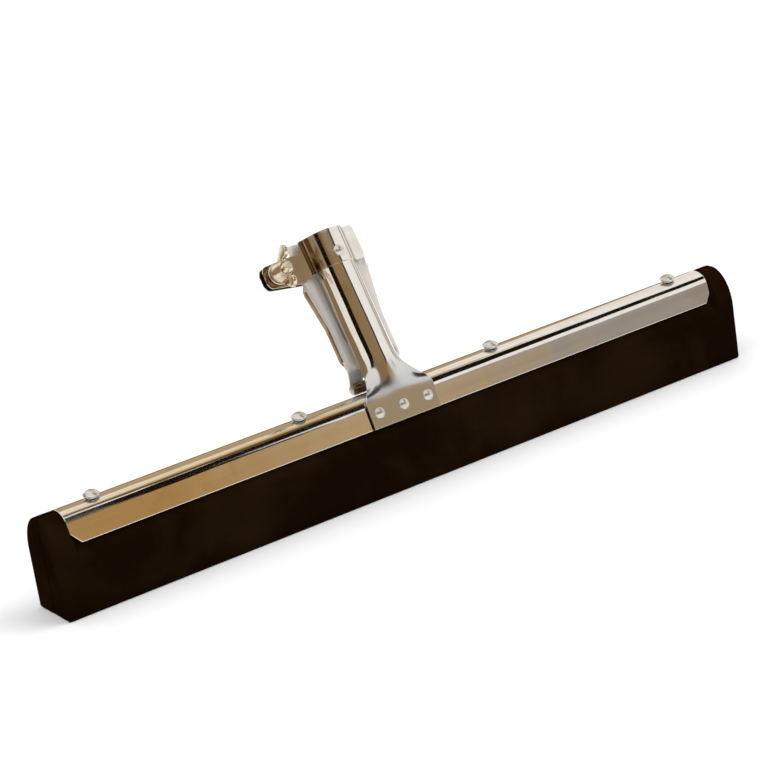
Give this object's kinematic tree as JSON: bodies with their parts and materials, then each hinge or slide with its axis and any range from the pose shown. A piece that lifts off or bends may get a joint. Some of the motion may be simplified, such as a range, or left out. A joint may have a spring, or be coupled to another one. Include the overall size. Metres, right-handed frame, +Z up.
{
  "type": "floor squeegee",
  "caption": "Floor squeegee head with twin foam strips in a plated steel channel and a hinged clamp socket for a round handle.",
  "frame": {"origin": "on the floor at mid-length, under the slit between the two foam strips", "axes": "+X along the blade to the right seen from the front, +Y to the rear towards the handle, +Z up"},
  "size_m": [0.45, 0.0766, 0.1396],
  "materials": {
    "channel_plate": "bright plated sheet steel with fine scratches",
    "socket_plate": "bright plated sheet steel, satin on the foot",
    "collar_plate": "bright plated sheet steel",
    "rivet_steel": "plated",
    "fastener_zinc": "zinc plated",
    "pin_steel": "bare steel",
    "strip_steel": "bare steel",
    "foam_rubber": "fine closed-cell foam, matte"
  },
  "bodies": {
    "frame": {"frame_channel": "channel_plate", "front_foam_blade": "foam_rubber", "rear_foam_blade": "foam_rubber", "retainer_strip": "strip_steel", "crown_rivets": "rivet_steel", "crown_rivet_washers": "rivet_steel", "front_shell": "socket_plate", "front_shell_rivets": "rivet_steel", "hinge_bracket": "socket_plate", "bracket_rivets": "rivet_steel", "hinge_pin": "pin_steel", "front_clamp_band": "collar_plate", "front_band_rivet": "rivet_steel"},
    "rear_jaw": {"rear_shell": "socket_plate", "rear_clamp_band": "collar_plate", "rear_band_rivets": "rivet_steel", "clamp_bolt": "fastener_zinc"},
    "nut_washers": {"clamp_washer": "fastener_zinc", "lock_washer": "fastener_zinc"},
    "nut": {"wing_nut": "fastener_zinc"}
  },
  "joints": [
    {"name": "jaw_swing", "type": "hinge", "parent": "frame", "child": "rear_jaw", "pos_m": [-0.0045, 0.01088, 0.05473], "axis": [1, 0, 0], "range_deg": [-1.67, 1.67]},
    {"name": "nut_travel", "type": "slide", "parent": "rear_jaw", "child": "nut_washers", "axis": [0, 0.866, -0.5], "range_m": [-0.002, 0.002]},
    {"name": "wing_nut_turn", "type": "hinge", "parent": "nut_washers", "child": "nut", "pos_m": [-0.039, 0.03389, 0.12529], "axis": [0, 0.866, -0.5], "range_deg": [-756, 756]}
  ],
  "couplings": [
    {"joint": "wing_nut_turn", "follows": "nut_travel", "rad_per_m": 6283.2},
    {"joint": "jaw_swing", "follows": "nut_travel", "rad_per_m": 13.773}
  ]
}
